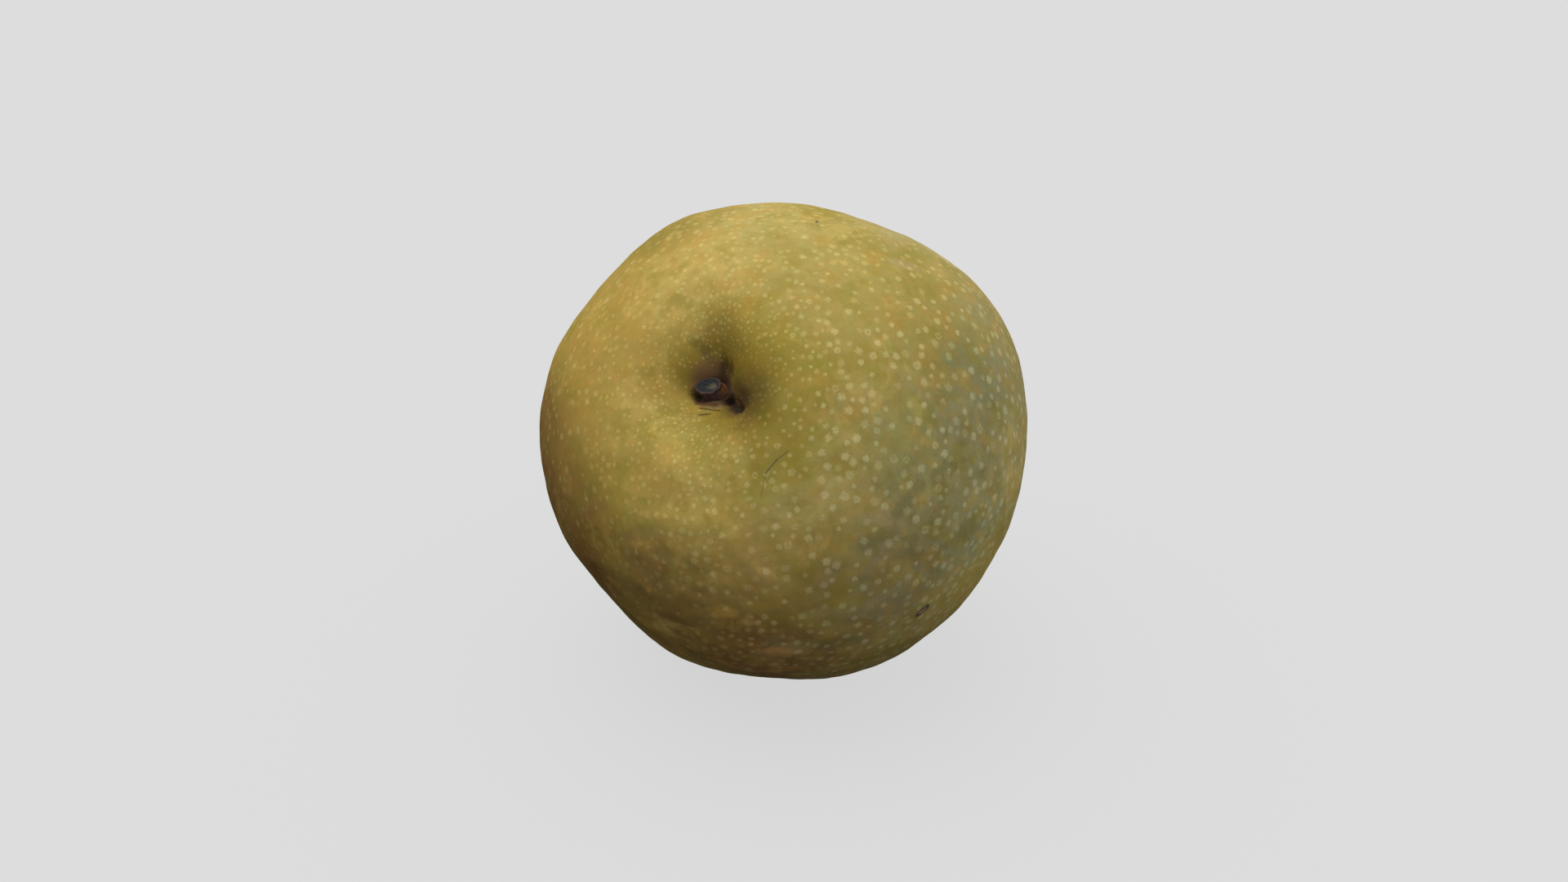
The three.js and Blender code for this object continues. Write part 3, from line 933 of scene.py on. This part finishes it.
def makeStemMaterial():
    material, tree, surface = newMaterial("clippedStem")
    own = ownPlace(tree)
    slope = directionTo(math.degrees(stem["nearSide"]), 0) * -stem["cutTilt"] + Vector((0, 0, 1))
    height = vectorOf(tree, "DOT_PRODUCT", own, tuple(slope))["Value"]
    sway = ranged(tree, noiseOf(tree, own, 1.6, 3.0, 0.6), 0.25, 0.75, -stem["ragged"], stem["ragged"])
    cutPlace = shiftedBy(tree, own, stem["lean"])
    out = mathOf(tree, "ADD", ovalShare(tree, cutPlace), sway)
    pithPlace = shiftedBy(tree, cutPlace, stem["pithShift"])
    fromPith = mathOf(tree, "ADD", ovalShare(tree, pithPlace), sway)
    fibre = useGroup(tree, dryFibre, {"Place": own, "Scale": stem["fibreScale"]})

    # flank: dark and pale bark along the fibre, and orange-brown bark painted brighter on one side as its
    # lit side
    litWarm = areaMask(tree, own, *stem["litWarmSide"])
    flank = mixed(tree, fibre["Shade"], stem["barkDark"], stem["bark"])
    flank = mixed(tree, productOf(tree, litWarm, stem["litWarmShare"]), flank, stem["barkLitWarm"])

    # cut end: pinkish rim, grey wood with flecks, crumbly tan pith, all painted darker as the cavity's
    # shade
    fleck = noiseOf(tree, own, 6.5, 3.0, 0.75)
    wood = mixed(tree, ranged(tree, fleck, 0.48, 0.62), stem["wood"], stem["woodFleck"])
    pith = mixed(tree, ranged(tree, fleck, 0.42, 0.58), stem["pith"], stem["pithFleck"])
    face = mixed(tree, ranged(tree, fromPith, *stem["pithEdge"]), wood, pith)
    face = mixed(tree, ranged(tree, out, *stem["rimEdge"]), face, stem["rim"])
    barkEnd, cutStart = stem["cutHeights"]
    top = ranged(tree, height, cavityFloor / mm + barkEnd, cavityFloor / mm + cutStart)
    colour = mixed(tree, top, flank, face)
    relief = mathOf(tree, "ADD", fibre["Height"], productOf(tree, fleck, 0.6))
    rough = ranged(tree, fibre["Shade"], 0.0, 1.0, *stem["roughness"])
    dressSurface(tree, surface, colour, rough, relief, stem)
    return material


def makeStem():
    bm = bmesh.new()
    face = raisePlug(bm, stem["segments"], [(height * mm, share) for height, share in stem["levels"]])
    bm.transform(Matrix.Diagonal((stem["halfLong"], stem["halfShort"], 1, 1)))
    bmesh.ops.poke(bm, faces=[face])
    nearTurn = stem["nearSide"] - stem["twist"]
    nearSide = Vector((math.cos(nearTurn), math.sin(nearTurn)))
    lean = stem["lean"] @ Matrix.Rotation(stem["twist"], 2)
    waveLength, waveHeight = stem["wave"]
    for vert in bm.verts:
        around = math.atan2(vert.co.y / stem["halfShort"], vert.co.x / stem["halfLong"])
        bulk = Vector((vert.co.x / stem["halfLong"], vert.co.y / stem["halfShort"])).length
        swing = math.sin(stem["ridges"] * around + 2 * noise.noise(vert.co / stem["ridgeWander"]))
        rough = noise.noise(vert.co / stem["barkLength"])
        grow = 1 + stem["ridgeHeight"] * bulk * (stem["ridgeShare"] * swing + rough)
        vert.co.x *= grow
        vert.co.y *= grow * (1 - stem["narrowing"] * math.cos(around) ** 4)
        over = smoothStep(*stem["leanHeights"], vert.co.z)
        tilt = stem["cutTilt"] * smoothStep(*stem["tiltHeights"], vert.co.z)
        rise = vert.co.xy.dot(nearSide) * tilt
        vert.co.x += lean.x * over
        vert.co.y += lean.y * over
        vert.co.z += rise + waveHeight * noise.noise(vert.co / waveLength)
    stand = Matrix.Translation((0, 0, cavityFloor)) @ Matrix.Rotation(stem["twist"], 4, "Z")
    bm.transform(lie @ stand)
    addPiece(bm, "stemStub", makeStemMaterial(), "stem", "stem_stub")


calyx = {
    "discRadius": 3.6 * mm,
    "discHeight": 3.0 * mm,
    "seatDepth": 0.8 * mm,
    "hollowRadius": 2.0 * mm,
    "hollowDepth": 1.2 * mm,
    "discSegments": 80,
    "pleats": 20,
    "pleatHeight": 0.07 * mm,
    "discWave": (0.9 * mm, 0.12 * mm),  # length and height
    "lobes": 0.035,  # how far it draws in between its five lobes
    "gap": 0.3 * mm,
    "sepals": 5,
    "sepalLength": 5.4 * mm,
    "sepalWidth": 4.2 * mm,
    "sepalThickness": 0.32 * mm,
    "sepalCurl": 1.2 * mm,
    "sepalCup": 0.45 * mm,
    "sepalCrinkle": 0.16 * mm,
    "sepalVein": (0.16 * mm, 0.12),  # height, and width as a share of half the sepal
    "sepalTwist": (-0.5, 0.5),
    "sepalDroop": (0.6, 1.0),
    "sepalNarrow": (0.82, 1.0),
    "filaments": 20,
    "filamentLength": (1.6 * mm, 2.7 * mm),
    "filamentRadius": 0.11 * mm,
    "filamentOut": (0.7, 1.15),  # where they stand, in millimetres from the middle
    "filamentTip": (1.2, 2.1),  # width of the knob, as a share of the thread's
    "styles": 5,
    "styleOut": (0.1, 0.45),
    "leanOut": (-0.35, 0.1),
    "leanAstray": (-0.3, 0.3),
    "seed": 11,
    "fibreScale": 1.6,
    "stainsAndShade": 0.7,  # strength of the pale and dark stains
    "relief": (0.8, 0.25 * mm),  # strength and height
    "roughness": (0.7, 0.95),
    "specular": 0.2,
    "dark": (0.045, 0.026, 0.015),
    "pale": (0.26, 0.17, 0.09),
    "edge": (0.36, 0.26, 0.15),
}
hollowFloor = basinFloor + calyx["seatDepth"] - calyx["discHeight"] + calyx["hollowDepth"]


def makeCalyxMaterial():
    material, tree, surface = newMaterial("dryCalyx")
    own = ownPlace(tree)
    fibre = useGroup(tree, dryFibre, {"Place": own, "Scale": calyx["fibreScale"]})
    stain = noiseOf(tree, own, 0.7, 3.0, 0.6)
    colour = mixed(tree, fibre["Shade"], calyx["dark"], calyx["pale"])
    colour = mixed(tree, ranged(tree, stain, 0.55, 0.75, 0.0, calyx["stainsAndShade"]), colour, calyx["edge"])
    colour = mixed(tree, ranged(tree, stain, 0.45, 0.25, 0.0, calyx["stainsAndShade"]), colour, calyx["dark"])
    rough = ranged(tree, stain, 0.3, 0.7, *calyx["roughness"])
    dressSurface(tree, surface, colour, rough, fibre["Height"], calyx)
    return material


def makeCalyxDisc(material):
    bm = bmesh.new()
    back = basinFloor + calyx["seatDepth"]
    front = back - calyx["discHeight"]
    rim, hollow = calyx["discRadius"], calyx["hollowRadius"]
    levels = [(back, 0.93 * rim), (back - 0.1 * mm, 0.99 * rim), (back - 0.5 * mm, rim),
              (front + 0.4 * mm, rim), (front + 0.1 * mm, 0.96 * rim), (front, 0.88 * rim),
              (front, 0.72 * rim), (front + 0.06 * mm, 1.08 * hollow), (front + 0.35 * mm, 0.96 * hollow),
              (hollowFloor, 0.86 * hollow), (hollowFloor, 0.45 * hollow)]
    face = raisePlug(bm, calyx["discSegments"], levels)
    bmesh.ops.poke(bm, faces=[face])
    waveLength, waveHeight = calyx["discWave"]
    for vert in bm.verts:
        around = math.atan2(vert.co.y, vert.co.x)
        out = vert.co.xy.length / rim
        pleat = math.sin(calyx["pleats"] * around + 3 * noise.noise(vert.co / (1.4 * mm)))
        wave = waveHeight * noise.noise(vert.co / waveLength)
        vert.co.z += (calyx["pleatHeight"] * pleat + wave) * out
        shrink = 1 - calyx["lobes"] * abs(math.sin(2.5 * around)) * out
        vert.co.x *= shrink
        vert.co.y *= shrink
    bm.transform(lie)
    addPiece(bm, "calyxDisc", material, "calyx", "calyx_disc")


def basinSurface(distance):
    bulge = math.sqrt(1 - (distance / pear["equatorRadius"]) ** 2)
    return dimpleDepth(pear["calyxBasin"], distance) - pear["calyxEndHeight"] * bulge


def makeSepal(which, material):
    draw = random.Random(calyx["seed"] + which)
    twist = draw.uniform(*calyx["sepalTwist"])
    droop = draw.uniform(*calyx["sepalDroop"])
    narrow = draw.uniform(*calyx["sepalNarrow"])
    bm = bmesh.new()
    bmesh.ops.create_grid(bm, x_segments=26, y_segments=12, size=1)
    inner = calyx["discRadius"] + calyx["gap"]
    veinHeight, veinWidth = calyx["sepalVein"]
    for vert in bm.verts:
        along, aside = (vert.co.x + 1) / 2, vert.co.y
        # broad foot, pointed tip
        outline = math.sin(math.pi * (0.3 + 0.7 * along ** 0.85)) ** 0.85 + 0.05
        crinkle = calyx["sepalCrinkle"] * noise.noise(Vector((5 * along, 3 * aside, 7 * which)))
        distance = inner + calyx["sepalLength"] * along * 0.97
        side = calyx["sepalWidth"] / 2 * narrow * outline * aside + 0.5 * mm * twist * along
        lift = calyx["gap"] + calyx["sepalThickness"] + calyx["sepalCurl"] * droop * along ** 2
        vein = veinHeight * math.exp(-((aside / veinWidth) ** 2)) * (1 - along)
        cup = calyx["sepalCup"] * aside ** 2 * outline - vein
        height = basinSurface(distance) - lift + cup + crinkle * (0.3 + along)
        vert.co = Vector((distance, side, height))
    bmesh.ops.solidify(bm, geom=bm.faces[:], thickness=calyx["sepalThickness"])
    bmesh.ops.recalc_face_normals(bm, faces=bm.faces[:])
    bm.transform(Matrix.Rotation(2 * math.pi * which / calyx["sepals"], 4, "Z"))
    bm.transform(lie)
    addPiece(bm, f"sepal{which + 1}", material, "calyx", f"sepal_{which + 1}")


def growFilament(bm, foot, lean, length, radius, tip):
    # a bent thread out of the hollow, with a knob or a blunt end
    levels = [(length * part, radius * (1 - 0.35 * part)) for part in (0, 0.25, 0.5, 0.75, 0.92)]
    knob = radius * tip
    levels += [(length, knob), (length * 1.06, knob * 0.9), (length * 1.1, knob * 0.3)]
    before = set(bm.verts)
    raisePlug(bm, 8, levels)
    for vert in [vert for vert in bm.verts if vert not in before]:
        bend = (vert.co.z / length) ** 2 * length
        vert.co = foot + Vector((vert.co.x, vert.co.y, -vert.co.z)) + lean * bend


def makeTuft(material):
    draw = random.Random(calyx["seed"])
    bm = bmesh.new()
    for index in range(calyx["filaments"] + calyx["styles"]):
        isStyle = index >= calyx["filaments"]
        around = draw.uniform(0, 2 * math.pi) if isStyle else 2 * math.pi * index / calyx["filaments"]
        out = draw.uniform(*calyx["styleOut" if isStyle else "filamentOut"]) * mm
        way = Vector((math.cos(around), math.sin(around), 0))
        inward = way * draw.uniform(*calyx["leanOut"])
        astray = [draw.uniform(*calyx["leanAstray"]) for _ in "xy"]
        foot = way * out + Vector((0, 0, hollowFloor + 0.1 * mm))
        length = draw.uniform(*calyx["filamentLength"]) / 1.1
        tip = 1.0 if isStyle else draw.uniform(*calyx["filamentTip"])
        growFilament(bm, foot, inward + Vector((*astray, 0)), length, calyx["filamentRadius"], tip)
    bmesh.ops.recalc_face_normals(bm, faces=bm.faces[:])
    bm.transform(lie)
    addPiece(bm, "stamenTuft", material, "calyx", "stamen_tuft")


def makeCalyx():
    material = makeCalyxMaterial()
    makeCalyxDisc(material)
    for which in range(calyx["sepals"]):
        makeSepal(which, material)
    makeTuft(material)
    print("calyx ready")


makeCamera()
makeSky()
makeSuns()
makeFloor()
print("studio ready")
makeFruit()
makeStem()
makeCalyx()
bpy.context.scene.view_settings.view_transform = "Standard"
